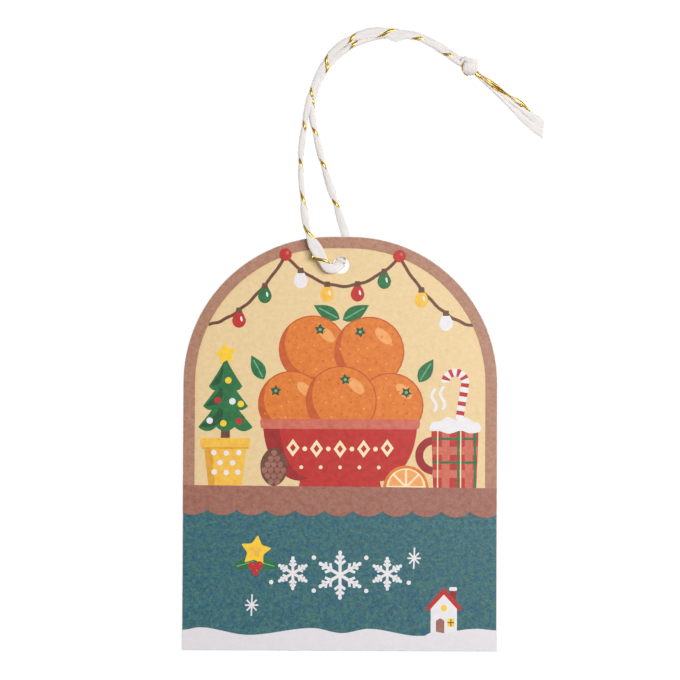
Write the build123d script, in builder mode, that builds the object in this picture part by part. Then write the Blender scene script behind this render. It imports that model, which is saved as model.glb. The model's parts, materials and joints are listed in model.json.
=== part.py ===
from build123d import *
from math import asin, cos, degrees, pi, radians, tan
import os

# A printed gift tag lying on a table, face up, with its knotted hanging string.
# Millimetres. The top of the card points along +Y and the table is Z = 0.

# Card
card_width = 60.0
card_height = 79.0
card_thickness = 0.45
shoulder_radius = 28.0  # the two rounded top corners, nearly a full arch
least_top_flat = 1.0  # the shoulders leave at least this much of the top edge between them
edge_softening = 0.08  # rounding left by the cutting die
hole_diameter = 3.2
hole_from_top = 5.5  # top edge to the centre of the punched hole

# String
cord_diameter = 1.2
under_card_gap = 0.25  # string on the table to the back of the card
over_card_gap = 0.18  # string to the printed face
bend_share = 0.45  # part of the shorter run that each bend takes up
knot_heading = -34.0  # degrees from +X that the string runs into the knot
knot_core_diameter = 2.6
knot_core_length = 2.9
wrap_width = 1.5
wrap_depth = 1.1
wrap_lean = 16.0  # degrees that the broad wrap leans off square
lobe_width = 1.2
lobe_depth = 0.9
lobe_lean = -28.0
lobe_shift = 0.75  # second wrap's place along the knot
tail_heading = -40.0  # degrees from +X that the tails leave it
tail_start_width = 0.6
tail_start_depth = 0.9
tail_end_width = 1.15
tail_end_depth = 0.6
tail_gap = 0.1
tail_length = 18.4  # from the middle of the knot to the cut end, between the two tails
cut_slant = 35.0  # degrees that the ends are snipped off square
tail_stations = (0, 0.15, 0.5, 1)  # shares of the tail where its section is drawn
gold_diameter = 0.34

os.makedirs("parts", exist_ok=True)

# The string under its top lifts the card, which rests on its bottom edge
hole_height = card_height - hole_from_top
card_tilt = degrees(asin((cord_diameter + under_card_gap) / hole_height))
cord_radius = cord_diameter / 2
over_card = card_thickness / 2 + cord_radius + over_card_gap

upright = Vector(0, 0, 1).rotate(Axis.X, card_tilt)
bottom_edge = Vector(0, -card_height * cos(radians(card_tilt)) / 2, 0)
card_back = Plane(origin=bottom_edge, x_dir=(1, 0, 0), z_dir=upright)
hole_centre = card_back.from_local_coords((0, hole_height, card_thickness / 2))
card_middle = Plane(origin=hole_centre, x_dir=(1, 0, 0), z_dir=upright)


def at_card(right, up, level):
    """A point beside the hole: millimetres right, up and out from the card's middle."""
    return card_middle.from_local_coords(Vector(right, up, level))


def on_table(right, up, rise=0.0):
    """A point of a string that lies on the table, or rises above it, seen from the hole."""
    return Vector(hole_centre.X + right, hole_centre.Y + up, cord_radius + rise)


def bend_radii(route):
    """The largest even bends that the straight runs of a route allow."""
    radii = []
    for before, corner, after in zip(route, route[1:], route[2:]):
        turn = radians((corner - before).get_angle(after - corner))
        shorter = min((corner - before).length, (after - corner).length)
        radii.append(bend_share * shorter / tan(turn / 2))
    return radii


# The string crosses the card's middle here, sloping down to the back
hole_crossing = at_card(-0.2, 0.4, 0)

# From the hole over the printed face, down to the table and round to the knot
front_route = [
    hole_crossing,
    at_card(-0.8, -0.5, over_card),
    at_card(-2.35, -0.75, over_card),
    at_card(-3.45, 0.4, over_card),
    at_card(-4.65, 2.8, over_card),
    at_card(-5.9, 5.8, over_card),
    at_card(-6.95, 9.8, over_card),
    on_table(-7.6, 14.2, 2.25),
    on_table(-7.75, 18.6, 1.3),
    on_table(-7.6, 22.6, 0.4),
    on_table(-7.2, 26.2),
    on_table(-6.85, 29.6),
    on_table(-5.85, 33.85),
    on_table(-3.7, 37.9),
    on_table(-0.45, 41.9),
    on_table(3.45, 44.45),
    on_table(7.95, 45.5),
    on_table(12.5, 45.25),
    on_table(16.8, 43.8),
    on_table(20.45, 41.55, 0.2),
    on_table(24.15, 39.35, 0.9),
]

# From the hole under the card, out at its top edge and beside the front leg to the knot
back_route = [
    hole_crossing,
    at_card(0.4, 1.3, -over_card),
    on_table(1.0, 3.2),
    on_table(0.95, 6.0),
    on_table(0.3, 9.2),
    on_table(-0.9, 12.9),
    on_table(-2.35, 16.8),
    on_table(-3.85, 21.0),
    on_table(-4.95, 25.2),
    on_table(-5.5, 29.4),
    on_table(-4.55, 33.35),
    on_table(-2.5, 37.15),
    on_table(0.45, 40.9),
    on_table(4.0, 43.15),
    on_table(8.05, 44.1),
    on_table(12.25, 43.9),
    on_table(16.2, 42.55),
    on_table(19.7, 40.4, 0.2),
    on_table(23.4, 38.25, 0.9),
]

# The knot, and the tails that leave it
knot_radius = knot_core_diameter / 4 + wrap_depth
knot_centre = on_table(24.6, 38.25, knot_radius - cord_radius)
knot_along = Vector(1, 0, 0).rotate(Axis.Z, knot_heading)
tail_along = Vector(1, 0, 0).rotate(Axis.Z, tail_heading)
tail_left = tail_along.rotate(Axis.Z, 90)


def on_tail(along, left, height):
    """A point of the tails, which lie on the table beyond the knot."""
    foot = knot_centre + tail_along * along + tail_left * left
    return Vector(foot.X, foot.Y, height)


wraps = (
    (wrap_lean, 0.0, wrap_width, wrap_depth),
    (lobe_lean, lobe_shift, lobe_width, lobe_depth),
)
tail_root = knot_core_length / 3  # the tails start this far from the middle of the knot
tail_root_height = 0.75 * knot_radius  # low in the knot
snip = Plane(origin=on_tail(tail_length, 0, 0), z_dir=tail_along.rotate(Axis.Z, cut_slant))
uncut_length = tail_length + (tail_end_width + tail_gap) * tan(radians(cut_slant))

gold_level = gold_diameter / 2
gold_root_height = 1.25 * knot_radius  # high in the knot
front_gold_route = [
    on_tail(0.9, 0.45, gold_root_height),
    on_tail(2.3, 0.95, 1.05),
    on_tail(3.9, 1.1, gold_level),
    on_tail(6.0, 1.05, gold_level),
    on_tail(8.4, 1.3, gold_level),
    on_tail(10.7, 1.45, gold_level),
    on_tail(12.9, 1.8, gold_level),
]
back_gold_route = [
    on_tail(0.9, 0.95, gold_root_height),
    on_tail(2.4, 1.45, 1.05),
    on_tail(4.1, 1.65, gold_level),
    on_tail(6.3, 1.5, gold_level),
    on_tail(8.8, 1.85, gold_level),
    on_tail(11.3, 2.0, gold_level),
    on_tail(13.8, 2.35, gold_level),
]


def string_tube(route, diameter):
    """A round string swept along a route of straight runs and tangent bends."""
    with BuildPart() as tube:
        with BuildLine():
            path = FilletPolyline(*route, radius=bend_radii(route))
        with BuildSketch(Plane(origin=path @ 0, z_dir=path % 0)):
            Circle(diameter / 2)
        sweep()
    section = pi * diameter**2 / 4
    share = tube.part.volume / (section * path.length)
    radii = [round(radius, 2) for radius in bend_radii(route)]
    print(f"string of {path.length:.1f} mm, volume by section {share:.4f}, bend radii {radii}")
    return tube.part


with BuildPart() as card:
    with BuildSketch(card_back) as outline:
        with Locations((0, card_height / 2)):
            Rectangle(card_width, card_height)
        widest_shoulder = (card_width - least_top_flat) / 2
        fillet(outline.vertices().group_by(Axis.Y)[-1], min(shoulder_radius, widest_shoulder))
    extrude(amount=card_thickness)
    fillet(card.faces().filter_by(card_back).edges(), edge_softening)
    with Locations(card_middle):
        Hole(hole_diameter / 2)

front_leg = string_tube(front_route, cord_diameter)
back_leg = string_tube(back_route, cord_diameter)
front_gold = string_tube(front_gold_route, gold_diameter)
back_gold = string_tube(back_gold_route, gold_diameter)


def tail_tuft(side):
    """A frayed white end: it leaves the knot narrow and lies wider and flatter at its cut."""
    with BuildPart() as tuft:
        for share in tail_stations:
            width = tail_start_width + share * (tail_end_width - tail_start_width)
            depth = tail_start_depth + share * (tail_end_depth - tail_start_depth)
            along = tail_root + share * (uncut_length - tail_root)
            height = tail_root_height if share == 0 else depth / 2
            middle = on_tail(along, side * (width + tail_gap) / 2, height)
            with BuildSketch(Plane(origin=middle, x_dir=tail_left, z_dir=tail_along)):
                Ellipse(width / 2, depth / 2)
        loft(ruled=True)
        split(bisect_by=snip, keep=Keep.BOTTOM)
    return tuft.part


front_tail = tail_tuft(-1)
back_tail = tail_tuft(1)

with BuildPart() as knot:
    with BuildSketch(Plane(origin=knot_centre, x_dir=knot_along, z_dir=(0, 0, 1))):
        with BuildLine():
            spine = Line((-knot_core_length / 2, 0), (knot_core_length / 2, 0))
            shoulder = Line(spine @ 1, (knot_core_length / 2, knot_core_diameter / 4))
            crown = ThreePointArc(
                shoulder @ 1, (0, knot_core_diameter / 2), (-knot_core_length / 2, knot_core_diameter / 4)
            )
            Line(crown @ 1, spine @ 0)
        make_face()
    revolve(axis=Axis(knot_centre, knot_along))
    for lean, shift, width, depth in wraps:
        wrap_along = knot_along.rotate(Axis.Z, lean)
        wrap_centre = knot_centre + knot_along * shift
        with BuildSketch(Plane(origin=wrap_centre, x_dir=wrap_along, z_dir=(0, 0, 1))):
            with Locations((0, (knot_core_diameter / 2 + depth) / 2)):
                Ellipse(width / 2, depth / 2)
        revolve(axis=Axis(wrap_centre, wrap_along))
    for strand in (front_leg, back_leg, front_tail, back_tail, front_gold, back_gold):
        add(strand, mode=Mode.SUBTRACT)

pieces = {
    "card": card.part,
    "string_front_leg": front_leg,
    "string_back_leg": back_leg,
    "knot": knot.part,
    "front_tail": front_tail,
    "back_tail": back_tail,
    "front_gold_tail": front_gold,
    "back_gold_tail": back_gold,
}
for name, piece in pieces.items():
    piece.label = name
    export_step(piece, f"parts/{name}.step")

print(f"hole centre {hole_centre}, square to the card {upright}, tilt {card_tilt:.3f} degrees")
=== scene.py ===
import bpy
import bisect
import bmesh
import json
import math
import random
from mathutils import Matrix, Vector
from mathutils.geometry import interpolate_bezier


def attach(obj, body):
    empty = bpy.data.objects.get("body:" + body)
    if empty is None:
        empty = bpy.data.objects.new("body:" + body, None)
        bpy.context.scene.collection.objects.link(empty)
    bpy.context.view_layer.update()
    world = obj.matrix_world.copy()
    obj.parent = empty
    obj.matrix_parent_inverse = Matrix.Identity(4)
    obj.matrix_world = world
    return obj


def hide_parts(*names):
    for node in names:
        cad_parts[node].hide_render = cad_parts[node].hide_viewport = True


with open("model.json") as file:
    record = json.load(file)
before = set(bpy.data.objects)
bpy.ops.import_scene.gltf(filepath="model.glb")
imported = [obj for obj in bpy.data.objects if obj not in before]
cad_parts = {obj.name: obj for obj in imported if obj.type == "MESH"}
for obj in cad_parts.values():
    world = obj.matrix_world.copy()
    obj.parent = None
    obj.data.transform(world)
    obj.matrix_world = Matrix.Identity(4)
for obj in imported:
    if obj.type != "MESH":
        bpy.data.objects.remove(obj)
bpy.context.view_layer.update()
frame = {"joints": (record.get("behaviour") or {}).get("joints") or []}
scene = bpy.context.scene
mm = 0.001

# The card's own directions, from the joint that the string swings on
swing = frame["joints"][0]
hole = Vector(swing["pos_m"])
faceUp = Vector(swing["axis"]).normalized()
cardRight = Vector((1, 0, 0))
cardUp = faceUp.cross(cardRight)

card = {
    "width": 60.0,  # millimetres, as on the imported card
    "height": 79.0,
    "thickness": 0.45,
    "shoulder": 28.0,
    "holeFromTop": 5.5,
    "holeAcross": 3.2,
}


def picked(red, green, blue):  # a colour as a picker shows it, made linear for the nodes
    straight = []
    for value in (red, green, blue):
        share = value / 255
        straight.append(share / 12.92 if share <= 0.04045 else ((share + 0.055) / 1.055) ** 2.4)
    return (*straight, 1)


def newPiece(name, bm, body, material):  # a finished shape becomes a piece on its body
    mesh = bpy.data.meshes.new(name)
    bm.to_mesh(mesh)
    bm.free()
    mesh.materials.append(material)
    piece = bpy.data.objects.new(name, mesh)
    scene.collection.objects.link(piece)
    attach(piece, body)
    return piece


def meshFromCurve(curve):  # the curve's shape as a mesh, with the curve thrown away
    holder = bpy.data.objects.new(curve.name, curve)
    mesh = bpy.data.meshes.new_from_object(holder)
    bpy.data.objects.remove(holder)
    bpy.data.curves.remove(curve)
    return mesh


# Camera
cameraView = {
    "lookAt": (-0.000114, 0.019777, 0),
    "distance": 0.6,
    "offVertical": 3.064,  # degrees that the camera leans back from straight above
    "roll": 0.264,
    "lens": 165.85,
}


def makeCamera():
    data = bpy.data.cameras.new("camera")
    data.lens = cameraView["lens"]
    lean = Matrix.Rotation(math.radians(cameraView["offVertical"]), 4, "X")
    roll = Matrix.Rotation(math.radians(cameraView["roll"]), 4, "Z")
    backOff = Matrix.Translation((0, 0, cameraView["distance"]))
    camera = bpy.data.objects.new("camera", data)
    camera.matrix_world = Matrix.Translation(cameraView["lookAt"]) @ lean @ backOff @ roll
    scene.collection.objects.link(camera)
    scene.camera = camera


makeCamera()
print("camera set")


# String: a soft white yarn of low twist, drawn through the hole, doubled and knotted
string = {
    "across": 1.2,  # millimetres
    "overCard": 1.005,  # string's middle to the card's middle
    "smoothness": 24,  # steps of the spline from one point of a route to the next
    "spacing": 0.4,  # between the points that the yarn is drawn through
    "ridges": 14,  # bundles of fibre round it
    "knotRidges": 10,
    "ridgeCorners": 4,
    "ridgeRound": 0.8,  # less makes a ridge flatter
    "groove": 0.024,  # depth of the lines between them
    "knotGroove": 0.15,
    "grooveShare": (0.75, 0.5),  # a groove's usual depth, and how far it swells and fades
    "swell": (0.5, 1.4),  # how quickly, in radians to the millimetre
    "height": 0.9,
    "turn": 46.0,  # length of one turn of the lay
    "pinch": 0.16,  # how far the gold thread draws the yarn in
}
seeds = {"ridges": 3, "frontGold": 5, "backGold": 6, "frontTail": 8, "backTail": 9}


def atCard(right, up, level):  # millimetres from the hole, and out from the card's middle
    return hole + (cardRight * right + cardUp * up + faceUp * level) * mm


def onTable(right, up, rise=0.0):
    return Vector((hole.x + right * mm, hole.y + up * mm, (string["across"] / 2 + rise) * mm))


over = string["overCard"]
holeCrossing = atCard(-0.05, 0.5, 0)

frontRoute = [holeCrossing]
frontRoute += [atCard(right, up, over + rise) for right, up, rise in (
    (-0.9, -0.6, 0.1), (-2.3, -0.75, 0.35), (-3.25, 0.45, 0.65), (-4.5, 2.75, 0.7),
    (-6.15, 5.35, 0.7), (-6.9, 8.6, 0.6),
)]
frontRoute += [onTable(*point) for point in (
    (-7.4, 12.9, 2.6), (-7.75, 16.8, 1.7), (-7.85, 20.2, 0.8), (-7.65, 23.4, 0.1), (-7.2, 26.7),
    (-6.7, 29.7, 0.25), (-6.15, 32.4, 0.4), (-5.0, 35.6, 0.35), (-3.15, 39.3, 0.4),
    (-1.35, 41.65, 0.45), (1.45, 43.7, 0.45), (4.85, 44.85, 0.5), (8.2, 45.05, 0.55),
    (10.4, 44.3, 0.6), (12.8, 44.6, 0.55), (16.4, 43.25, 0.2), (19.6, 41.15, 0.5),
    (21.4, 39.9, 0.75), (23.4, 38.6, 0.9),
)]
backRoute = [holeCrossing, atCard(-0.1, 1.7, -over)]
backRoute += [onTable(*point) for point in (
    (1.25, 3.2), (0.95, 5.9), (0.15, 8.2), (-0.95, 11.6), (-2.0, 14.8), (-3.25, 18.4), (-4.2, 22.2),
    (-5.1, 25.7), (-5.8, 29.0), (-5.6, 32.2), (-4.7, 35.2), (-2.5, 38.8), (-0.5, 40.85), (2.1, 42.6),
    (5.1, 43.85), (8.9, 44.55), (12.6, 45.2), (17.3, 43.2, 0.5), (20.7, 41.3, 0.4), (23.9, 39.1, 0.9),
)]

# Where the yarn lies wide or is drawn thin: millimetres from the hole, and its width there
frontWidths = [
    (0, 2.1), (1.6, 1.9), (4.5, 2.1), (7.0, 2.35), (8.0, 2.25), (10.9, 1.25), (14.2, 1.4),
    (18.0, 1.0), (21.5, 1.1), (25.0, 0.95), (29.0, 1.2), (33.0, 1.1), (36.0, 1.25), (39.5, 1.2),
    (43.0, 1.4), (51.5, 1.4), (56.0, 2.0), (58.5, 2.2), (60.6, 2.55), (63.4, 1.4), (66.5, 1.05),
    (69.5, 0.95), (72.5, 1.2), (75.5, 1.15),
]
backWidths = [
    (0, 2.0), (1.6, 1.7), (8.0, 1.6), (12.5, 1.1), (15.5, 1.5), (19.5, 1.05), (23.0, 1.3),
    (26.5, 1.05), (29.0, 1.2), (32.5, 1.15), (36.0, 1.25), (39.5, 1.15), (43.0, 1.25),
    (46.5, 1.15), (52.0, 1.1), (57.0, 1.1), (60.5, 1.3), (64.0, 1.2), (68.0, 0.9),
]
# Turns of the gold thread: millimetres from the hole, and turns made by there, a whole one on top
frontTurns = [
    (-3.4, 0), (5.0, 1), (6.6, 1.25), (8.9, 1.77), (13.1, 2.23), (15.6, 2.77), (19.7, 3.23),
    (24.7, 4), (32.3, 5), (38.7, 6), (45.5, 7), (52.1, 8), (57.0, 8.78), (60.9, 9.22),
    (63.4, 9.77), (67.2, 10.22), (70.1, 10.74), (73.4, 11.24), (75.8, 11.5),
]
backTurns = [
    (3.4, 0), (10.7, 0.75), (13.9, 1.25), (20.4, 2), (26.8, 3), (32.8, 4), (40.0, 5),
    (46.6, 6), (49.5, 6.4), (63.0, 6.55), (69.0, 6.65),
]


def routeLine(route):  # points read from the route's smooth spline, a constant step apart
    curve = bpy.data.curves.new("route", "CURVE")
    curve.dimensions = "3D"
    curve.resolution_u = string["smoothness"]
    spline = curve.splines.new("NURBS")
    spline.points.add(len(route) - 1)
    for slot, point in zip(spline.points, route):
        slot.co = (*point, 1)
    spline.order_u = 3
    spline.use_endpoint_u = True
    mesh = meshFromCurve(curve)
    rough = [vertex.co.copy() for vertex in mesh.vertices]
    bpy.data.meshes.remove(mesh)
    reached = [0.0]
    for here, there in zip(rough, rough[1:]):
        reached.append(reached[-1] + (there - here).length)
    steps = round(reached[-1] / (string["spacing"] * mm))
    stations = list(zip(reached, rough))
    return [straightAt(stations, reached[-1] * step / steps) for step in range(steps + 1)]


def lineLength(line):
    return sum((there - here).length for here, there in zip(line, line[1:]))


def heading(points, index):  # from the point before to the point after
    return Vector(points[min(index + 1, len(points) - 1)]) - Vector(points[max(index - 1, 0)])


def framesAlong(line, breadth=None):  # millimetres along, middle, direction, side and lift
    frames, step = [], lineLength(line) / (len(line) - 1) / mm
    for index, middle in enumerate(line):
        along = heading(line, index).normalized()
        side = breadth or along.cross(Vector((0, 0, 1)))
        side = (side - along * side.dot(along)).normalized()
        frames.append((index * step, middle, along, side, side.cross(along)))
    return frames


def valueAt(stations, place):  # eases from one station's value to the next
    if place <= stations[0][0]:
        return stations[0][1]
    for (fromPlace, fromValue), (toPlace, toValue) in zip(stations, stations[1:]):
        if place <= toPlace:
            share = (place - fromPlace) / (toPlace - fromPlace)
            return fromValue + (3 - 2 * share) * share * share * (toValue - fromValue)
    return stations[-1][1]


def straightAt(stations, place):  # runs straight from one station's value to the next
    places = [station for station, value in stations]
    after = min(max(bisect.bisect_left(places, place), 1), len(stations) - 1)
    (fromPlace, fromValue), (toPlace, toValue) = stations[after - 1:after + 1]
    return fromValue + (toValue - fromValue) * (place - fromPlace) / (toPlace - fromPlace)


def girthAt(widths, turns, place):  # half width and half height of the yarn
    width = valueAt(widths, place)
    height = string["height"] * math.sqrt(string["across"] / width)
    drawn = max(0.0, math.cos(2 * math.pi * straightAt(turns, place))) ** 2 if turns else 0.0
    return width / 2 * (1 - string["pinch"] * drawn), height / 2


def ridgedRing(place, halfWidth, halfHeight, ridges, groove, lay):  # one section of the yarn
    reached, middle, along, side, lift = place
    usual, waver = string["grooveShare"]
    each = string["ridgeCorners"]
    ring = []
    for corner in range(len(ridges) * each):
        rate, phase = ridges[corner // each]
        depth = groove * (usual + waver * math.sin(rate * reached + phase))
        dip = depth * (1 - abs(math.sin(math.pi * corner / each)) ** string["ridgeRound"])
        turn = 2 * math.pi * corner / len(ridges) / each + lay
        across = math.cos(turn) * (halfWidth - dip)
        upward = math.sin(turn) * (halfHeight - dip)
        ring.append(middle + (side * across + lift * upward) * mm)
    return ring


def someRidges(count, dice):  # how quickly each ridge swells and fades, and where it starts
    return [(dice.uniform(*string["swell"]), dice.uniform(0, 6.28)) for _ in range(count)]


def swept(sections):  # rings bridged one to the next, with both ends closed
    bm, rings = bmesh.new(), []
    for section in sections:
        corners = [bm.verts.new(point) for point in section]
        rings.append([bm.edges.new(pair) for pair in zip(corners, corners[1:] + corners[:1])])
    for here, there in zip(rings, rings[1:]):
        bmesh.ops.bridge_loops(bm, edges=here + there)
    for end in (rings[0], rings[-1]):
        bmesh.ops.edgeloop_fill(bm, edges=end)
    return bm


def markFibres(bm, frames):  # across, up and along the yarn, for the fibres in its material
    fibre = bm.verts.layers.float_vector.new("fibre")
    corners = len(bm.verts) // len(frames)
    for number, vert in enumerate(bm.verts):
        reached, middle, along, side, lift = frames[number // corners]
        offset = vert.co - middle
        vert[fibre] = (offset.dot(side), offset.dot(lift), reached * mm)


def stringPiece(name, bm, material):
    bmesh.ops.recalc_face_normals(bm, faces=bm.faces)
    for face in bm.faces:
        face.smooth = True
    return newPiece(name, bm, "string", material)


def makeYarn(name, line, widths, turns, ridges, groove, material, breadth=None):
    frames, sections = framesAlong(line, breadth), []
    for place in frames:
        halfWidth, halfHeight = girthAt(widths, turns, place[0])
        lay = 2 * math.pi * place[0] / string["turn"]
        sections.append(ridgedRing(place, halfWidth, halfHeight, ridges, groove, lay))
    bm = swept(sections)
    markFibres(bm, frames)
    return stringPiece(name, bm, material)


# Gold thread: a flat metallised tape wound round the yarn
goldTape = {
    "width": 0.52,  # millimetres
    "thickness": 0.05,
    "proud": 0.02,  # its middle above the yarn
    "crinkle": 16.0,  # degrees that it twists to and fro
    "sunk": 0.13,  # how far the yarn swells round it at the sides
    "hurry": 0.4,  # how much faster it crosses the front than the sides
}
frontLoose = [(5.2, 0), (6.5, 0.45), (7.6, 0)]  # where it stands off the yarn, and how far
backLoose = [(0, 0)]


def tapeSection(middle, outward, across, width):  # four corners of the flat tape
    thick = outward * goldTape["thickness"] * mm / 2
    wide = across * width * mm / 2
    return [middle - wide - thick, middle + wide - thick, middle + wide + thick, middle - wide + thick]


def makeWinding(name, line, widths, turns, loose, material):
    dice = random.Random(seeds[name])
    middles, outwards = [], []
    for reached, middle, along, side, lift in framesAlong(line):
        count = 2 * math.pi * straightAt(turns, reached)
        angle = math.pi / 2 + count + goldTape["hurry"] * math.sin(count)
        halfWidth, halfHeight = girthAt(widths, turns, reached)
        sunk = goldTape["sunk"] * math.cos(angle) ** 2
        halfWidth += goldTape["proud"] - sunk + valueAt(loose, reached)
        halfHeight += goldTape["proud"]
        offset = side * math.cos(angle) * halfWidth + lift * math.sin(angle) * halfHeight
        outward = side * math.cos(angle) / halfWidth + lift * math.sin(angle) / halfHeight
        middles.append(middle + offset * mm)
        outwards.append(outward.normalized())
    sections = []
    for index, (middle, outward) in enumerate(zip(middles, outwards)):
        along = heading(middles, index).normalized()
        crinkle = math.radians(goldTape["crinkle"]) * dice.uniform(-1, 1)
        outward = Matrix.Rotation(crinkle, 3, along) @ outward
        across = outward.cross(along).normalized()
        sections.append(tapeSection(middle, outward, across, goldTape["width"]))
    return stringPiece(name, swept(sections), material)


# Knot: a broad wrap of the doubled yarn over a loop of it
knot = {
    "centre": (24.4, 38.45),
    "tailRoot": (24.6, 38.3),
    "tailHeading": -40.0,  # degrees from the right that the tails leave it
}
knotFoot = Vector((hole.x, hole.y, 0)) + Vector((*knot["centre"], 0)) * mm
tailFoot = Vector((hole.x, hole.y, 0)) + Vector((*knot["tailRoot"], 0)) * mm
tailAlong = Matrix.Rotation(math.radians(knot["tailHeading"]), 3, "Z") @ Vector((1, 0, 0))
tailLeft = Matrix.Rotation(math.radians(90), 3, "Z") @ tailAlong


def onKnot(*points):  # millimetres from the knot's middle, and above the table
    return [knotFoot + Vector(point) * mm for point in points]


def onTail(*points):  # along the tails, to their left, and above the table
    route = []
    for along, left, height in points:
        route.append(tailFoot + (tailAlong * along + tailLeft * left + Vector((0, 0, height))) * mm)
    return route


wrapRoute = onKnot(  # up the far side, over the front and down to the near side
    (0.2, 0.0, 0.6), (0.25, 0.7, 0.7), (0.2, 0.85, 1.8), (0.15, 0.4, 2.7), (0.15, -0.6, 2.75),
    (0.2, -1.55, 1.9), (0.2, -1.35, 0.7), (0.1, -0.3, 0.6),
)
wrapWidths = [(0, 1.5), (2.0, 2.2), (3.5, 2.75), (4.4, 2.7), (6.0, 1.5), (8.0, 1.2)]
loopRoute = onKnot(  # from the left, round the top and down the right side
    (-1.2, 0.2, 1.2), (-1.5, 1.25, 1.7), (-0.8, 1.5, 2.0), (0.0, 0.85, 2.1), (1.3, 0.75, 2.0),
    (1.25, 0.0, 1.7), (0.8, -0.9, 1.2),
)
loopWidths = [(0, 0.7), (2.0, 0.9), (4.0, 1.1), (7.0, 0.9)]

# Tails: the frayed ends beyond the knot
tail = {
    "ridges": 9,
    "length": 19.3,
    "slant": 0.69,  # the cut runs back by this share of the way across
    "edge": -1.2,  # the side that the length is measured on
    "lay": 0.1,  # turn of the ridges, in radians
    "widths": [
        (0, 0.6), (3.0, 0.7), (8.0, 0.75), (11.0, 0.95), (14.0, 1.35), (16.5, 1.6), (20.0, 1.5),
    ],
    "heights": [(0, 0.8), (3.0, 0.7), (8.0, 0.62), (14.0, 0.52), (20.0, 0.46)],
    "grooves": [(0, 0.03), (8.0, 0.03), (14.0, 0.035), (20.0, 0.045)],
}
frontTailRoute = onTail(
    (0.7, -0.15, 1.3), (2.4, -0.3, 0.85), (5.0, -0.3, 0.42), (9.0, -0.55, 0.38),
    (12.5, -0.75, 0.34), (15.5, -0.95, 0.30), (20.5, -0.6, 0.28),
)
backTailRoute = onTail(
    (0.7, 0.2, 1.3), (2.4, 0.2, 0.85), (5.0, 0.2, 0.42), (9.0, 0.02, 0.38),
    (12.5, 0.4, 0.34), (15.5, 0.6, 0.30), (20.5, 0.75, 0.28),
)


def snipped(bm):  # what lies beyond the cut is taken off, and the cut closed
    where = onTail((tail["length"], tail["edge"], 0))[0]
    facing = (tailAlong + tailLeft * tail["slant"]).normalized()
    everything = bm.verts[:] + bm.edges[:] + bm.faces[:]
    bmesh.ops.bisect_plane(bm, geom=everything, plane_co=where, plane_no=facing, clear_outer=True)
    bmesh.ops.holes_fill(bm, edges=[edge for edge in bm.edges if edge.is_boundary])


def makeTail(name, route, material):
    frames, sections = framesAlong(routeLine(route)), []
    ridges = someRidges(tail["ridges"], random.Random(seeds[name]))
    for place in frames:
        halfWidth = valueAt(tail["widths"], place[0]) / 2
        halfHeight = valueAt(tail["heights"], place[0]) / 2
        groove = valueAt(tail["grooves"], place[0])
        sections.append(ridgedRing(place, halfWidth, halfHeight, ridges, groove, tail["lay"]))
    bm = swept(sections)
    markFibres(bm, frames)
    snipped(bm)
    return stringPiece(name, bm, material)


# Loose gold: round the knot, and the two ends beyond it
looseGold = {
    "knotGold": {
        "width": 0.3,
        "start": 33.0,  # degrees that it is turned where it sets out
        "rate": 0.0,  # degrees that it turns in each millimetre
        "route": onKnot(
            (-0.75, 0.75, 2.3), (-1.15, 0.35, 2.25), (-1.38, -0.4, 2.25), (-1.15, -1.2, 2.25),
            (-0.75, -1.62, 2.05), (-0.25, -1.84, 1.6),
        ),
    },
    "frontGoldTail": {
        "width": 0.45, "start": -12.0, "rate": 27.0,
        "route": onTail(
            (0.6, -0.3, 1.9), (1.7, -0.4, 1.5), (4.1, -0.1, 1.05), (6.4, 0.1, 0.85),
            (8.6, 0.7, 0.9), (10.4, 0.7, 0.85), (12.6, 0.8, 0.75),
        ),
    },
    "backGoldTail": {
        "width": 0.45, "start": 42.0, "rate": 26.0,
        "route": onTail(
            (0.6, 0.3, 2.0), (1.7, 0.1, 1.6), (3.4, 0.36, 1.2), (5.2, 0.6, 0.95), (7.2, 0.62, 0.95),
            (9.2, 0.65, 1.0), (10.9, 1.3, 0.8), (12.7, 1.2, 0.6), (14.2, 0.95, 0.62),
        ),
    },
}


def makeLooseGold(name, material):
    gold = looseGold[name]
    sections = []
    for reached, middle, along, side, lift in framesAlong(routeLine(gold["route"])):
        turned = Matrix.Rotation(math.radians(gold["start"] + gold["rate"] * reached), 3, along)
        sections.append(tapeSection(middle, turned @ lift, turned @ side, gold["width"]))
    return stringPiece(name, swept(sections), material)


# Looks of the string: a pattern has its scale and detail, a bump its strength and depth
noiseMiddle = (0.3, 0.7)  # where most of a noise pattern's values lie
yarnLook = {
    "plain": (232, 226, 223),
    "tones": ((222, 216, 213), (241, 236, 233)),
    "roughness": 0.9,
    "pattern": (5200, 3.0),
    "drawnOut": (1, 1, 0.08),  # the fibres run along the yarn
    "bump": (0.3, 0.03),
}
goldLook = {
    "plain": (240, 190, 60),
    "tones": ((226, 168, 42), (250, 206, 78)),
    "roughness": 0.22,
    "uneven": (0.16, 0.34),  # roughness from crease to crease
    "pattern": (1700, 2.0),
    "bump": (0.4, 0.06),
}


def plainMaterial(name, colour, roughness):  # a surface with its own colour, to be built on
    material = bpy.data.materials.new(name)
    material.use_nodes = True
    shader = material.node_tree.nodes["Principled BSDF"]
    shader.inputs["Base Color"].default_value = picked(*colour)
    shader.inputs["Roughness"].default_value = roughness
    return material, material.node_tree, shader


def newNode(tree, kind, **settings):  # a node with these of its sockets set
    node = tree.nodes.new(kind)
    for socket, value in settings.items():
        node.inputs[socket].default_value = value
    return node


def onPiece(tree):  # where a point is on its piece
    return tree.nodes.new("ShaderNodeTexCoord").outputs["Object"]


def noiseNode(tree, place, scale, detail):
    noise = newNode(tree, "ShaderNodeTexNoise", Scale=scale, Detail=detail)
    tree.links.new(place, noise.inputs["Vector"])
    return noise.outputs["Fac"]


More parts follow.
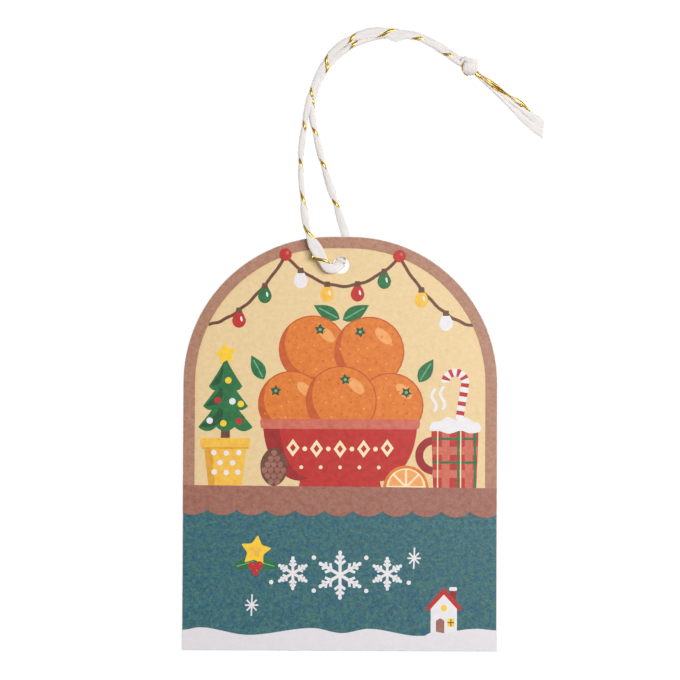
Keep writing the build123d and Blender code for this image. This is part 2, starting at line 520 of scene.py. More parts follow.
def rangeNode(tree, value, *ends):  # from its low and high to the new low and high
    spread = tree.nodes.new("ShaderNodeMapRange")
    for socket, end in zip(("From Min", "From Max", "To Min", "To Max"), ends):
        spread.inputs[socket].default_value = end
    tree.links.new(value, spread.inputs["Value"])
    return spread.outputs["Result"]


def bumpNode(tree, height, shader, strength, depth):  # depth in millimetres
    bump = newNode(tree, "ShaderNodeBump", Strength=strength, Distance=depth * mm)
    tree.links.new(height, bump.inputs["Height"])
    tree.links.new(bump.outputs["Normal"], shader.inputs["Normal"])


def toneNode(tree, shader, share, first, second):  # the colour drifts from one tone to the other
    tone = tree.nodes.new("ShaderNodeMix")
    tone.data_type = "RGBA"
    tone.inputs["A"].default_value = picked(*first)
    tone.inputs["B"].default_value = picked(*second)
    tree.links.new(share, tone.inputs["Factor"])
    tree.links.new(tone.outputs["Result"], shader.inputs["Base Color"])
    return tone


def patternNodes(tree, shader, place, look):  # two tones and a bump that follow one pattern
    pattern = noiseNode(tree, place, *look["pattern"])
    toneNode(tree, shader, rangeNode(tree, pattern, *noiseMiddle, 0, 1), *look["tones"])
    bumpNode(tree, pattern, shader, *look["bump"])
    return pattern


def yarnMaterial():
    material, tree, shader = plainMaterial("softYarn", yarnLook["plain"], yarnLook["roughness"])
    fibre = tree.nodes.new("ShaderNodeAttribute")
    fibre.attribute_name = "fibre"
    drawnOut = tree.nodes.new("ShaderNodeVectorMath")
    drawnOut.operation = "MULTIPLY"
    drawnOut.inputs[1].default_value = yarnLook["drawnOut"]
    tree.links.new(fibre.outputs["Vector"], drawnOut.inputs[0])
    patternNodes(tree, shader, drawnOut.outputs["Vector"], yarnLook)
    return material


def goldMaterial():
    material, tree, shader = plainMaterial("goldFilm", goldLook["plain"], goldLook["roughness"])
    shader.inputs["Metallic"].default_value = 1.0
    creases = patternNodes(tree, shader, onPiece(tree), goldLook)
    uneven = rangeNode(tree, creases, *noiseMiddle, *goldLook["uneven"])
    tree.links.new(uneven, shader.inputs["Roughness"])
    return material


def makeString():
    softYarn, goldFilm = yarnMaterial(), goldMaterial()
    dice = random.Random(seeds["ridges"])
    ridges, knotRidges = someRidges(string["ridges"], dice), someRidges(string["knotRidges"], dice)
    groove, knotGroove = string["groove"], string["knotGroove"]
    wrapLine, loopLine = routeLine(wrapRoute), routeLine(loopRoute)
    stringKnot = makeYarn(
        "stringKnot", wrapLine, wrapWidths, None, knotRidges, knotGroove, softYarn, cardRight
    )
    knotLoop = makeYarn("knotLoop", loopLine, loopWidths, None, knotRidges, groove, softYarn)
    knotPieces = [stringKnot, knotLoop, makeLooseGold("knotGold", goldFilm)]
    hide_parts("knot")
    legs = [
        ("front", frontRoute, frontWidths, frontTurns, frontLoose, ridges, frontTailRoute, knotPieces),
        ("back", backRoute, backWidths, backTurns, backLoose, ridges[::-1], backTailRoute, []),
    ]
    for leg, route, widths, turns, loose, bundles, tailRoute, held in legs:
        line = routeLine(route)
        yarn = makeYarn(leg + "Yarn", line, widths, turns, bundles, groove, softYarn)
        gold = makeWinding(leg + "Gold", line, widths, turns, loose, goldFilm)
        whiteTail = makeTail(leg + "Tail", tailRoute, softYarn)
        goldTail = makeLooseGold(leg + "GoldTail", goldFilm)
        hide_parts("string_" + leg + "_leg")
        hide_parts(leg + "_tail")
        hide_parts(leg + "_gold_tail")


makeString()
print("string made")


# Print: flat inks on the card's face, in millimetres across from its middle and up from its foot
printFace = (
    Matrix.Translation(atCard(0, card["holeFromTop"] - card["height"], card["thickness"] / 2))
    @ Matrix((cardRight, cardUp, faceUp)).transposed().to_4x4()
    @ Matrix.Scale(mm, 4)
)
inkLayer = 0.01  # height that each layer of ink adds
margin = 0.12  # bare paper round the edge
holePlace = card["height"] - card["holeFromTop"]
sill = 31.4  # top of the brown board
behindBoard = sill - 0.6  # foot of the things on the sill, where the board covers them
discSteps = 30  # points round a disc
smoothSteps = 6  # from one point of a soft line to the next
roundSteps = 5  # round a softened corner

inks = {  # the two tones that each ink drifts between, and the strength of its grain
    "ground": ((229, 199, 148), (234, 206, 157), 0.03),
    "frame": ((168, 118, 93), (179, 132, 109), 0.13),
    "board": ((151, 95, 78), (163, 111, 95), 0.14),
    "field": ((33, 93, 115), (64, 111, 105), 0.33),
    "snow": ((227, 221, 225), (230, 224, 228), 0.02),
    "line": ((101, 58, 41), (114, 71, 55), 0.05),
    "orange": ((216, 112, 33), (226, 128, 41), 0.05),
    "orangeDeep": ((191, 78, 26), (202, 94, 31), 0.05),
    "orangeLight": ((235, 155, 82), (242, 168, 100), 0.04),
    "pith": ((243, 221, 174), (247, 228, 186), 0.015),
    "red": ((181, 33, 30), (196, 41, 35), 0.06),
    "redDeep": ((148, 24, 26), (163, 31, 30), 0.06),
    "redSoft": ((198, 94, 74), (209, 112, 91), 0.05),
    "green": ((26, 102, 54), (35, 118, 63), 0.06),
    "greenDeep": ((18, 72, 39), (26, 86, 44), 0.06),
    "greenSoft": ((95, 163, 126), (112, 178, 143), 0.04),
    "yellow": ((239, 181, 54), (246, 196, 78), 0.03),
    "yellowDeep": ((219, 153, 36), (228, 167, 49), 0.03),
    "gleam": ((247, 198, 35), (251, 209, 51), 0.03),
    "white": ((231, 227, 230), (235, 232, 234), 0.012),
}
artwork = {ink: [] for ink in inks}


def draw(ink, layer, *loops):  # an outline, with any holes in it after it
    artwork[ink].append((layer, loops))


def arc(x, v, radius, fromTurn, toTurn, steps):
    points = []
    for step in range(steps + 1):
        turn = math.radians(fromTurn + (toTurn - fromTurn) * step / steps)
        points.append((x + radius * math.cos(turn), v + radius * math.sin(turn)))
    return points


def disc(x, v, radius):
    return arc(x, v, radius, 0, 360, discSteps)[1:]


def oblong(left, foot, right, top):
    return [(left, foot), (right, foot), (right, top), (left, top)]


def placed(points, x, v, lean=0.0, size=1.0):  # a shape drawn about nought, turned and moved
    turn = Matrix.Rotation(math.radians(lean), 2)
    return [tuple(turn @ Vector(point) * size + Vector((x, v))) for point in points]


def drawShapes(shapes, x, v):  # ink, layer and outline of each, drawn about nought
    for ink, layer, outline in shapes:
        draw(ink, layer, placed(outline, x, v))


def oval(x, v, halfWidth, halfHeight, lean):
    return placed([(px * halfWidth, pv * halfHeight) for px, pv in disc(0, 0, 1)], x, v, lean)


def mirrored(points):  # the right half, and then its reflection
    return points + [(-x, v) for x, v in reversed(points) if x > 0]


def smooth(points):  # a closed line that runs softly through the points
    line, count = [], len(points)
    for index in range(count):
        before, here, there, after = (Vector(points[(index + step) % count]) for step in (-1, 0, 1, 2))
        pull, push = here + (there - before) / 6, there - (after - here) / 6
        bend = interpolate_bezier(here, pull, push, there, smoothSteps + 1)
        line += [tuple(point) for point in bend[:-1]]
    return line


def rounded(corners, radius):  # straight sides with softened corners
    line, count = [], len(corners)
    for index in range(count):
        before, corner, after = (Vector(corners[(index + step) % count]) for step in (-1, 0, 1))
        start = corner + (before - corner).normalized() * radius
        end = corner + (after - corner).normalized() * radius
        pull, push = start.lerp(corner, 2 / 3), end.lerp(corner, 2 / 3)
        line += [tuple(point) for point in interpolate_bezier(start, pull, push, end, roundSteps)]
    return line


def ribbon(path, width):  # both sides of a drawn line
    left, right = [], []
    for index, point in enumerate(path):
        aside = heading(path, index).orthogonal().normalized() * width / 2
        left.append(tuple(Vector(point) + aside))
        right.append(tuple(Vector(point) - aside))
    return left + right[::-1]


starShape = {"inner": 0.52, "round": 0.13}  # of a star that reaches 1
leafSteps = 10


def star(x, v, reach, lean):
    corners = []
    for step in range(10):
        radius = starShape["inner"] if step % 2 else 1
        corners += placed([(radius, 0)], 0, 0, 90 + 36 * step)
    return placed(rounded(corners, starShape["round"]), x, v, lean, reach)


def drawLeaf(x, v, length, width, lean, layer):
    upper = []
    for step in range(leafSteps + 1):
        share = step / leafSteps
        upper.append((length * share, width / 2 * math.sin(math.pi * share ** 0.8)))
    lower = [(px, -pv) for px, pv in upper[-2:0:-1]]
    draw("green", layer, placed(upper + lower, x, v, lean))
    vein = [(0.5, 0), (length * 0.8, 0)]
    draw("greenSoft", layer + 0.4, placed(ribbon(vein, 0.22), x, v, lean))


# Ground, frame, board and snow
fieldTop = 28.5  # under the board
scallop = {
    "first": -25.27,  # a cusp, across from the middle
    "pitch": 5.566,
    "cusp": 26.9,
    "drop": 1.15,
    "round": 0.75,
    "lean": 0.35,  # lower at the right
    "steps": 240,
}
snowSteps = 120
snowLine = [  # crests and hollows of the snow along the foot of the card
    (-29.88, 3.85), (-26.6, 4.35), (-17.3, 2.95), (-5.1, 4.3), (0.5, 3.35),
    (5.6, 4.2), (15.0, 2.9), (26.3, 4.3), (29.88, 4.0),
]


def arch(inset, foot):  # the card's own outline, drawn smaller
    half = card["width"] / 2 - inset
    bend = card["width"] / 2 - card["shoulder"]
    spring = card["height"] - card["shoulder"]
    curve = arc(bend, spring, card["shoulder"] - inset, 0, 90, 24)
    return mirrored([(half, foot)] + curve)


def edgeToEdge(half, steps):  # places across the print, from left to right
    return [-half + 2 * half * step / steps for step in range(steps + 1)]


def drawFrame():
    half = card["width"] / 2 - margin
    clear = disc(0, holePlace, card["holeAcross"] / 2 + 0.03)
    draw("ground", 1, arch(1.6, sill - 0.8), clear)
    draw("frame", 12, arch(margin, sill - 0.5) + arch(2.25, sill - 0.5)[::-1])
    draw("field", 1, oblong(-half, margin, half, fieldTop))
    board = [(half, sill - scallop["lean"]), (-half, sill)]
    for step, x in enumerate(edgeToEdge(half, scallop["steps"])):
        share = ((x - scallop["first"]) / scallop["pitch"]) % 1
        level = scallop["cusp"] - scallop["lean"] * step / scallop["steps"]
        board.append((x, level - scallop["drop"] * (4 * share * (1 - share)) ** scallop["round"]))
    draw("board", 13, board)
    snow = [(half, margin), (-half, margin)]
    snow += [(x, valueAt(snowLine, x)) for x in edgeToEdge(half, snowSteps)]
    draw("snow", 2, snow)


twinkle = {
    "places": [(-16.7, 8.6), (14.2, 17.65)],
    "arms": [(88, 2.05), (0, 1.28), (48, 1.38), (133, 1.38)],  # turn and reach
    "width": 0.3,
}


def drawTwinkle(x, v):
    for turn, reach in twinkle["arms"]:
        arm = ribbon([(-reach, 0), (reach, 0)], twinkle["width"])
        draw("white", 3 + turn / 1000, placed(arm, x, v, turn))  # no two arms end at one height


# Bowl of oranges, in the middle of the window
oranges = [  # across, up, radius, layer, and the turn of the stalk
    (-5.3, 57.4, 6.5, 3.0, 70), (5.5, 57.0, 6.7, 4.0, 115),
    (-9.3, 46.9, 6.4, 5.0, 140), (9.6, 46.7, 6.3, 5.0, 40), (0.2, 47.5, 6.8, 6.0, 80),
]
pores = {"count": 26, "radius": 0.15, "turn": 137.5}  # degrees from one to the next
bowlLeaves = [  # across, up, length, width, lean and layer
    (-0.2, 63.2, 5.6, 2.7, 152, 2.5), (0.4, 63.0, 5.8, 2.8, 30, 2.5),
    (-14.6, 51.6, 5.2, 2.6, 118, 4.5), (15.0, 51.2, 5.2, 2.6, 58, 4.5),
]
bowl = {
    "rim": 43.6,
    "half": 14.7,
    "footHalf": 7.6,
    "lip": [(15.3, 44.1), (15.1, 42.2)],
    "band": 38.4,  # height of the row of diamonds
    "pitch": 4.5,
    "diamond": [(0, 1.7), (1.25, 0), (0, -1.7), (-1.25, 0)],
    "dots": 34.9,
}


def drawOrange(x, v, radius, layer, turn):
    draw("orange", layer, disc(x, v, radius))
    draw("orangeDeep", layer + 0.1, disc(x, v, radius), disc(x, v, radius - 0.26))
    shift = 0.17 * radius
    shade = arc(x, v, radius, 135, 315, 20)
    shade += arc(x + shift, v + shift, 0.99 * radius, 306, 144, 20)
    draw("orangeDeep", layer + 0.2, shade)
    shine = oval(0.40, 0.44, 0.30, 0.15, -43)
    draw("orangeLight", layer + 0.2, placed(shine, x, v, 0, radius))
    for number in range(pores["count"]):
        spread = 0.86 * radius * math.sqrt((number + 0.5) / pores["count"])
        pore = placed([(spread, 0)], x, v, number * pores["turn"] + turn)[0]
        draw("orangeDeep" if number % 3 else "orangeLight", layer + 0.4, disc(*pore, pores["radius"]))
    stalk = placed([(0.62 * radius, 0)], x, v, turn)[0]
    draw("greenDeep", layer + 0.5, star(*stalk, 1.15, turn))
    draw("greenSoft", layer + 0.6, disc(*stalk, 0.3))


def drawBowl():
    for orange in oranges:
        drawOrange(*orange)
    for leaf in bowlLeaves:
        drawLeaf(*leaf)
    rim, half, footHalf = bowl["rim"], bowl["half"], bowl["footHalf"]
    depth = rim - sill - 0.9
    side = []
    for outward, down in arc(0, 0, 1, 0, 90, 12):
        side.append((footHalf + (half - footHalf) * outward, rim - depth * down))
    draw("red", 8, mirrored(side + [(footHalf + 0.3, behindBoard)]))
    inner = [(-0.82 * x + 0.4, v + 0.6) for x, v in side[::-1]]
    draw("redDeep", 8.3, [(-x, v) for x, v in side] + inner)  # shaded left side
    draw("redSoft", 8.6, rounded(mirrored(bowl["lip"]), 0.6))
    for number in range(-2, 3):
        x, v = bowl["pitch"] * number, bowl["band"] + 0.05 * number * number
        draw("pith", 8.6, placed(bowl["diamond"], x, v))
        draw("red", 8.8, placed(bowl["diamond"], x, v, 0, 0.45))
        if number < 2:
            draw("pith", 8.6, disc(x + bowl["pitch"] / 2, bowl["band"], 0.45))
        draw("pith", 8.6, disc(0.82 * x, bowl["dots"], 0.36))


# Little fir tree in a spotted pot, on the left of the sill
fir = {
    "middle": -21.9,
    "potRim": 40.4,
    "tiers": [(42.0, 49.6, 5.2), (46.0, 52.8, 4.3), (49.8, 55.8, 3.2)],  # foot, tip and half width
    "baubles": [
        (2.6, 43.6, "red"), (-0.4, 43.2, "gleam"), (-3.0, 43.7, "white"), (1.3, 47.4, "white"),
        (-1.5, 47.6, "red"), (0.5, 51.4, "gleam"), (2.9, 46.9, "gleam"),
    ],
    "spots": [
        (-2.2, 37.6), (0.2, 37.5), (2.6, 37.6), (-1.0, 35.7), (1.4, 35.7),
        (-2.1, 33.9), (0.2, 33.8), (2.4, 33.9),
    ],
}


def tierOutline(foot, tip, half):  # a bellied side, and a hem of three scallops
    hem, side, skirt = foot + 0.5, [], []
    for step in range(9):
        share = step / 8
        side.append((half * share ** 1.15, tip - (tip - hem) * share))
    for step in range(1, 24):
        share = step / 24
        skirt.append((half * (1 - 2 * share), hem - 0.8 * abs(math.sin(3 * math.pi * share)) ** 0.8))
    return side + skirt + [(-x, v) for x, v in side[:0:-1]]


def drawFir():
    rim = fir["potRim"]
    shapes = [("line", 2, mirrored([(0.8, rim + 3.0), (0.9, rim - 1.0)]))]  # trunk
    for number, (foot, tip, half) in enumerate(fir["tiers"]):
        shade = [(0.5 - half, foot + 0.6), (-0.35 * half, foot + 3.0)]
        shade += [(-0.5, tip - 1.0), (-0.9, foot + 1.4)]
        shapes.append(("green", 3 + number, tierOutline(foot, tip, half)))
        shapes.append(("greenDeep", 3.3 + number, smooth(shade)))
    shapes += [(ink, 6.5, disc(x, v, 0.62)) for x, v, ink in fir["baubles"]]
    shapes += [("white", 4.6, disc(x, v, 0.52)) for x, v in fir["spots"]]
    side, lip = [(4.1, rim - 1.2), (3.1, behindBoard)], [(4.8, rim), (4.6, rim - 2.0)]
    shade = [(-4.1, rim - 1.2), (-3.1, behindBoard), (-1.9, behindBoard), (-2.6, rim - 1.2)]
    shapes += [
        ("gleam", 7, star(0, 56.4, 2.2, 8)),
        ("yellow", 4, rounded(mirrored(side), 0.3)),
        ("yellowDeep", 4.3, shade),
        ("yellow", 5, rounded(mirrored(lip), 0.5)),
        ("yellowDeep", 5.2, ribbon([(-4.4, rim - 1.9), (4.4, rim - 1.9)], 0.35)),
    ]
    drawShapes(shapes, fir["middle"], 0)


# Tartan mug with a candy cane, on the right of the sill
mug = {
    "left": 17.4,
    "right": 26.4,
    "top": 42.3,
    "uprights": [  # ink, layer, width, and where each stripe starts from the left
        ("redSoft", 4.2, 1.5, (2.0, 6.4)),
        ("green", 4.6, 0.45, (4.9, 8.1)),
        ("pith", 4.8, 0.22, (1.1, 5.5)),
    ],
    "bands": [  # ink, layer, width, distance from the sides, and the foot of each stripe
        ("redSoft", 4.4, 1.5, 0.25, (33.0, 37.4)),
        ("green", 4.7, 0.45, 0.2, (35.7, 40.2)),
    ],
    "foam": [  # from the top left corner
        (-0.3, -0.3), (0.1, 1.2), (1.6, 1.5), (3.0, 2.3), (4.8, 1.7), (6.6, 2.2), (8.0, 1.4),
        (9.2, 1.0), (9.3, -0.4), (7.4, -0.8), (5.6, -0.3), (3.4, -0.9), (1.6, -0.4),
    ],
    "steam": [(17.9, 45.6), (19.5, 46.0)],
}
cane = {"foot": (22.4, 42.0), "lean": -9, "width": 1.5, "step": 0.2}
caneStripe = {"first": 6, "length": 5, "pitch": 9}  # in steps along the cane


def drawCane():
    path = placed([(0, 0), (0, 8.0)] + arc(-1.9, 9.0, 1.9, 0, 190, 20), *cane["foot"], cane["lean"])
    draw("white", 3.2, ribbon(path, cane["width"]))
    fine = []
    for here, there in zip(path, path[1:]):
        count = max(1, round((Vector(there) - Vector(here)).length / cane["step"]))
        fine += [tuple(Vector(here).lerp(Vector(there), step / count)) for step in range(count)]
    length = caneStripe["length"]
    for start in range(caneStripe["first"], len(fine) - length + 1, caneStripe["pitch"]):
        draw("red", 3.5, ribbon(fine[start:start + length], cane["width"] + 0.02))


def drawMug():
    left, right, top, foot = mug["left"], mug["right"], mug["top"], behindBoard
    draw("redDeep", 3, ribbon(arc(left + 0.6, 37.2, 2.9, 96, 264, 20), 1.5))  # handle
    draw("red", 4, rounded([(left, top), (right, top), (right - 0.4, foot), (left + 0.4, foot)], 0.5))
    for ink, layer, width, starts in mug["uprights"]:
        for start in starts:
            draw(ink, layer, oblong(left + start, foot, left + start + width, top))
    for ink, layer, width, inset, feet in mug["bands"]:
        for v in feet:
            draw(ink, layer, oblong(left + inset, v, right - inset, v + width))
    drawCane()
    draw("white", 5.2, placed(smooth(mug["foam"]), left, top))
    for x, v in mug["steam"]:
        curl = [(0.45 * math.sin(step * 0.62), 0.4 * step) for step in range(12)]
        draw("white", 2.4, placed(ribbon(curl, 0.55), x, v))


# Small things between them
cutOrange = {"middle": 12.6, "radius": 4.3}
pineCone = {
    "middle": (-12.6, 34.9),
    "half": [(0, 3.7), (1.5, 2.9), (2.5, 0.9), (2.3, -1.6), (1.1, -3.2), (0, -3.6)],
    "halfScale": [(0, 0.55), (0.56, 0.2), (0.3, -0.5), (0, -0.62)],
    "rows": (1, 2, 3, 4, 3, 2),
}


def drawCutOrange():
    x, radius = cutOrange["middle"], cutOrange["radius"]
    draw("orange", 9.2, arc(x, sill - 0.4, radius, 0, 180, 24))
    draw("pith", 9.4, arc(x, sill - 0.4, radius - 0.55, 0, 180, 24))
    wedge = rounded([(0.55, 0)] + arc(0, 0, radius - 1.0, -19, 19, 6), 0.12)
    for number in range(4):
        draw("orangeLight", 9.6, placed(wedge, x, sill - 0.2, 22.5 + 45 * number))


def drawPineCone():
    shapes = [("line", 9.2, smooth(mirrored(pineCone["half"])))]
    scale = smooth(mirrored(pineCone["halfScale"]))
    for row, count in enumerate(pineCone["rows"]):
        for number in range(count):
            aside = 1.2 * (number - (count - 1) / 2)
            shapes.append(("board", 9.4 + row / 50, placed(scale, aside, 2.7 - 1.1 * row)))
    drawShapes(shapes, *pineCone["middle"])


# Garland of bulbs across the top
swags = [  # start, end, sag, and the bulbs by their share of the way
    ((-25.3, 62.0), (-10.6, 75.2), 2.6, [(0.40, "red"), (0.72, "green")]),
    (
        (-10.6, 75.2), (11.2, 75.0), 5.6,
        [(0.15, "white"), (0.36, "yellow"), (0.62, "red"), (0.85, "green")],
    ),
    ((11.2, 75.0), (25.3, 62.0), 2.6, [(0.30, "yellow"), (0.64, "white")]),
]
swagSteps = 30
bulb = {  # right halves, from where it hangs
    "glass": [(0, 0.1), (0.6, -0.35), (1.3, -1.9), (0.9, -3.0), (0, -3.4)],
    "cap": [(0.5, 0.5), (0.62, -0.55)],
}


def drawBulb(x, v, ink):
    shine = "white" if ink != "white" else "snow"
    drawShapes([
        (ink, 4, smooth(mirrored(bulb["glass"]))),
        ("line", 4.5, rounded(mirrored(bulb["cap"]), 0.15)),
        (shine, 4.5, oval(0.45, -1.7, 0.2, 0.5, 12)),
    ], x, v)


def drawGarland():
    for start, end, sag, bulbs in swags:
        path = []
        for step in range(swagSteps + 1):
            share = step / swagSteps
            x, v = Vector(start).lerp(Vector(end), share)
            path.append((x, v - 4 * sag * share * (1 - share) + 0.1 * math.sin(step * 1.1)))
        draw("line", 3, ribbon(path, 0.6))
        for share, ink in bulbs:
            drawBulb(*path[round(share * swagSteps)], ink)
    for x, v in (swags[0][1], swags[1][1]):
        draw("red", 14, disc(x, v + 0.3, 1.2))
        draw("redSoft", 14.3, disc(x + 0.35, v + 0.65, 0.3))


# On the field below: snowflakes, a star with a sprig, and a cottage in the snow
snowflakes = [(-8.9, 14.7, 2.9), (0.1, 14.4, 4.3), (9.1, 14.7, 2.9)]  # across, up and reach
flakeBranches = [(0.45, 0.30), (0.70, 0.22)]  # where on the arm, and how long, in shares of the reach
snowDots = [(-4.9, 17.7), (-4.9, 11.4), (5.1, 17.7), (5.1, 11.4), (-13.0, 13.0), (13.2, 13.0)]
sprig = {
    "leaves": [(-16.0, 17.0, 4.6, 2.1, 196, 3), (-15.9, 17.0, 4.6, 2.1, -16, 3)],
    "star": (-16.0, 18.9),
    "berries": [(-16.7, 16.1), (-15.3, 16.2), (-16.0, 15.0)],
}


def drawSnowflake(x, v, reach):
    width = 0.34 + 0.06 * reach
    for number in range(6):
        turn = 90 + 60 * number
        layer = 3 + number / 20
        draw("white", layer, placed(ribbon([(0, 0), (reach, 0)], width), x, v, turn))
        draw("white", layer + 0.3, disc(*placed([(reach, 0)], x, v, turn)[0], width * 0.62))
        for share, length in flakeBranches:
            for side in (-1, 1):
                tip = (reach * (share + length * 0.62), side * reach * length * 0.78)
                branch = ribbon([(reach * share, 0), tip], width * 0.85)
                draw("white", layer + 0.6, placed(branch, x, v, turn))


def drawField():
    for flake in snowflakes:
        drawSnowflake(*flake)
    for x, v in snowDots:
        draw("white", 3, disc(x, v, 0.42))
    for place in twinkle["places"]:
        drawTwinkle(*place)
    for leaf in sprig["leaves"]:
        drawLeaf(*leaf)
    draw("gleam", 4, star(*sprig["star"], 3.1, -8))
    draw("yellow", 4.4, star(*sprig["star"], 1.6, -8))
    for number, (x, v) in enumerate(sprig["berries"]):
        draw("red", 4.6 + number / 10, disc(x, v, 0.75))
        draw("redSoft", 5, disc(x + 0.22, v + 0.24, 0.16))


cottage = {  # outlines about the middle of its foot
    "foot": (19.9, 3.2),
    "wall": [(-2.5, 0), (2.5, 0), (2.5, 5.2), (0, 7.8), (-2.5, 5.2)],
    "roof": [(0, 8.9), (3.5, 5.0), (2.9, 4.4), (0, 7.6), (-2.9, 4.4), (-3.5, 5.0)],
    "door": [(-1.5, 0), (0.1, 0), (0.1, 2.6), (-0.7, 3.1), (-1.5, 2.6)],
    "drift": [(-3.6, -0.6), (-2.0, 0.5), (0.4, 0.2), (2.2, 0.6), (3.8, -0.6), (0, -1.2)],
}


def drawCottage():
    drawShapes([
        ("redDeep", 3, oblong(1.2, 5.5, 2.3, 8.6)),  # chimney
        ("white", 3.3, rounded(oblong(1.0, 8.3, 2.5, 9.0), 0.25)),  # snow on it
        ("white", 3.6, cottage["wall"]),
        ("red", 4, rounded(cottage["roof"], 0.2)),
        ("board", 4, rounded(cottage["door"], 0.2)),
        ("gleam", 4, rounded(oblong(0.7, 1.5, 2.0, 3.0), 0.15)),  # window and its bars
        ("line", 4.3, ribbon([(1.35, 1.5), (1.35, 3.0)], 0.2)),
        ("line", 4.5, ribbon([(0.7, 2.25), (2.0, 2.25)], 0.2)),
        ("gleam", 4, disc(0, 5.0, 0.6)),  # round window
        ("snow", 4.8, smooth(cottage["drift"])),
    ], *cottage["foot"])


# Looks of the card
inkLook = {
    "roughness": 0.5,
    "uneven": (0.34, 0.42),  # roughness from patch to patch
    "patches": (1100, 5.0),
    "patchMiddle": (0.34, 0.66),
    "grain": (2600, 2.0),
    "bump": (0.25, 0.02),
}
paperLook = {
    "plain": (226, 222, 220),
    "tones": ((216, 211, 208), (232, 229, 227)),
    "roughness": 0.85,
    "pattern": (1400, 5.0),
    "bump": (0.3, 0.03),
}


def inkMaterial(ink):
    first, second, strength = inks[ink]
    material, tree, shader = plainMaterial(ink + "Ink", first, inkLook["roughness"])
    links, place = tree.links, onPiece(tree)
    patches = noiseNode(tree, place, *inkLook["patches"])
    drift = rangeNode(tree, patches, *inkLook["patchMiddle"], 0, 1)
    tone = toneNode(tree, shader, drift, first, second)
    grain = noiseNode(tree, place, *inkLook["grain"])
    worn = tree.nodes.new("ShaderNodeMix")
    worn.data_type = "RGBA"
    worn.blend_type = "MULTIPLY"
    worn.inputs["Factor"].default_value = 1.0
    links.new(tone.outputs["Result"], worn.inputs["A"])
    links.new(rangeNode(tree, grain, *noiseMiddle, 1 - strength, 1 + strength), worn.inputs["B"])
    links.new(worn.outputs["Result"], shader.inputs["Base Color"])
    uneven = rangeNode(tree, patches, *noiseMiddle, *inkLook["uneven"])
    links.new(uneven, shader.inputs["Roughness"])
    bumpNode(tree, grain, shader, *inkLook["bump"])
    return material


def paperMaterial():
    material, tree, shader = plainMaterial("paperStock", paperLook["plain"], paperLook["roughness"])
    patternNodes(tree, shader, onPiece(tree), paperLook)
    return material


def inkSlab(loops, layer):  # a thin closed slab, half of it sunk in the paper
    curve = bpy.data.curves.new("ink", "CURVE")
    curve.dimensions = "2D"
    curve.fill_mode = "BOTH"
    curve.extrude = layer * inkLayer
    for loop in loops:
        spline = curve.splines.new("POLY")
        spline.points.add(len(loop) - 1)
        spline.use_cyclic_u = True
        for slot, point in zip(spline.points, loop):
            slot.co = (*point, 0, 1)
    return meshFromCurve(curve)


def makePrint():
    drawFrame()
    drawBowl()
    drawFir()
    drawMug()
    drawCutOrange()
    drawPineCone()
    drawGarland()
    drawField()
    drawCottage()
    for ink, shapes in artwork.items():
        bm = bmesh.new()
        for layer, loops in shapes:
            slab = inkSlab(loops, layer)
            part = bmesh.new()
            part.from_mesh(slab)
            bmesh.ops.remove_doubles(part, verts=part.verts, dist=1e-5)
            bmesh.ops.recalc_face_normals(part, faces=part.faces)
            part.to_mesh(slab)
            part.free()
            bm.from_mesh(slab)
            bpy.data.meshes.remove(slab)
        bmesh.ops.transform(bm, matrix=printFace, verts=bm.verts)
        newPiece("print_" + ink, bm, "card", inkMaterial(ink))
    paper = bpy.data.objects["card"]
    paper.data.materials.clear()
    paper.data.materials.append(paperMaterial())


makePrint()
print("print made")


# Stage: white floor, soft light from the upper right
whiteFloor = {"half": 3, "paint": (0.9, 0.9, 0.9, 1), "glow": 1.03, "ownWhite": 0.95}
studio = {"walls": 0.1, "ceiling": 0.54, "heights": (0.5, 0.8)}  # light of the world by its height
lampAim = Vector((0, 0.02, 0))
lamps = [  # name, place, size, power, and whether it glints on what it lights
    ("key", (0.33, 0.10, 0.40), 0.13, 1.3, True),
    ("top", (0.15, 0.06, 0.40), 0.1, 0.64, True),
    ("fill", (-0.42, 0.02, 0.09), 0.2, 0.62, False),
]


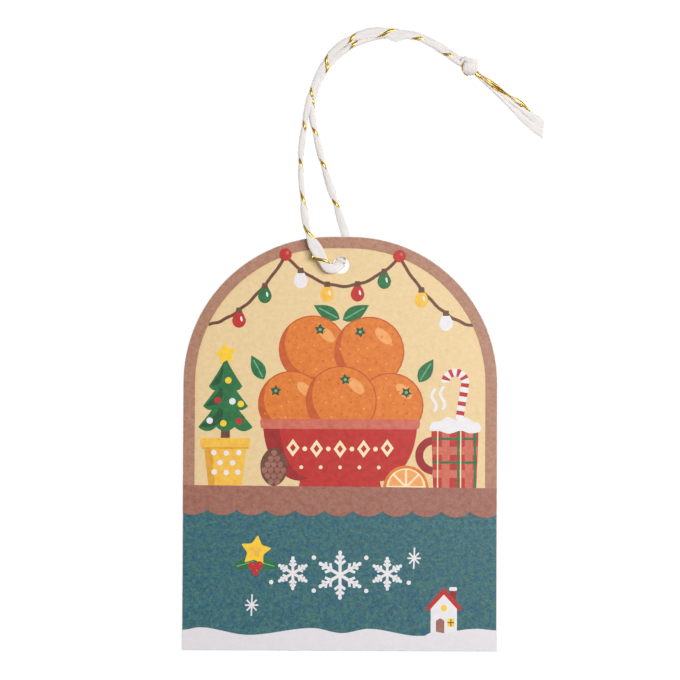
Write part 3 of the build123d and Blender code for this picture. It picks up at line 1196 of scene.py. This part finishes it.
def showWhite(tree, lit, white, share, output):  # the backdrop in the picture is white by this share
    seen = tree.nodes.new("ShaderNodeLightPath")
    part = tree.nodes.new("ShaderNodeMath")
    part.operation = "MULTIPLY"
    part.inputs[1].default_value = share
    mix = tree.nodes.new("ShaderNodeMixShader")
    tree.links.new(seen.outputs["Is Camera Ray"], part.inputs[0])
    tree.links.new(part.outputs[0], mix.inputs[0])
    tree.links.new(lit.outputs[0], mix.inputs[1])
    tree.links.new(white.outputs[0], mix.inputs[2])
    tree.links.new(mix.outputs[0], output.inputs[0])


def makeFloor():
    bm = bmesh.new()
    bmesh.ops.create_grid(bm, x_segments=1, y_segments=1, size=whiteFloor["half"])
    mesh = bpy.data.meshes.new("floor")
    bm.to_mesh(mesh)
    bm.free()
    floor = bpy.data.objects.new("floor", mesh)
    scene.collection.objects.link(floor)
    material = bpy.data.materials.new("whiteFloor")
    material.use_nodes = True
    tree = material.node_tree
    tree.nodes.clear()
    paint = newNode(tree, "ShaderNodeBsdfDiffuse", Color=whiteFloor["paint"])
    glow = newNode(tree, "ShaderNodeEmission", Strength=whiteFloor["glow"])
    output = tree.nodes.new("ShaderNodeOutputMaterial")
    showWhite(tree, paint, glow, whiteFloor["ownWhite"], output)  # the rest is lit, and takes shadows
    mesh.materials.append(material)


def makeWorld():
    world = bpy.data.worlds.new("studio")
    scene.world = world
    world.use_nodes = True
    tree = world.node_tree
    tree.nodes.clear()
    soft = tree.nodes.new("ShaderNodeBackground")
    place = tree.nodes.new("ShaderNodeTexCoord")
    height = tree.nodes.new("ShaderNodeSeparateXYZ")
    tree.links.new(place.outputs["Generated"], height.inputs[0])
    light = studio["walls"], studio["ceiling"]
    ceiling = rangeNode(tree, height.outputs["Z"], *studio["heights"], *light)
    tree.links.new(ceiling, soft.inputs["Strength"])
    white = newNode(tree, "ShaderNodeBackground", Color=(1, 1, 1, 1))
    showWhite(tree, soft, white, 1.0, tree.nodes.new("ShaderNodeOutputWorld"))


def makeLamps():
    for name, place, size, power, shine in lamps:
        data = bpy.data.lights.new(name, "AREA")
        data.size = size
        data.energy = power
        light = bpy.data.objects.new(name, data)
        turned = (Vector(place) - lampAim).to_track_quat("Z", "Y")
        light.matrix_world = Matrix.Translation(place) @ turned.to_matrix().to_4x4()
        light.visible_glossy = shine
        scene.collection.objects.link(light)


makeFloor()
makeWorld()
makeLamps()
scene.view_settings.view_transform = "Standard"
print("stage set")
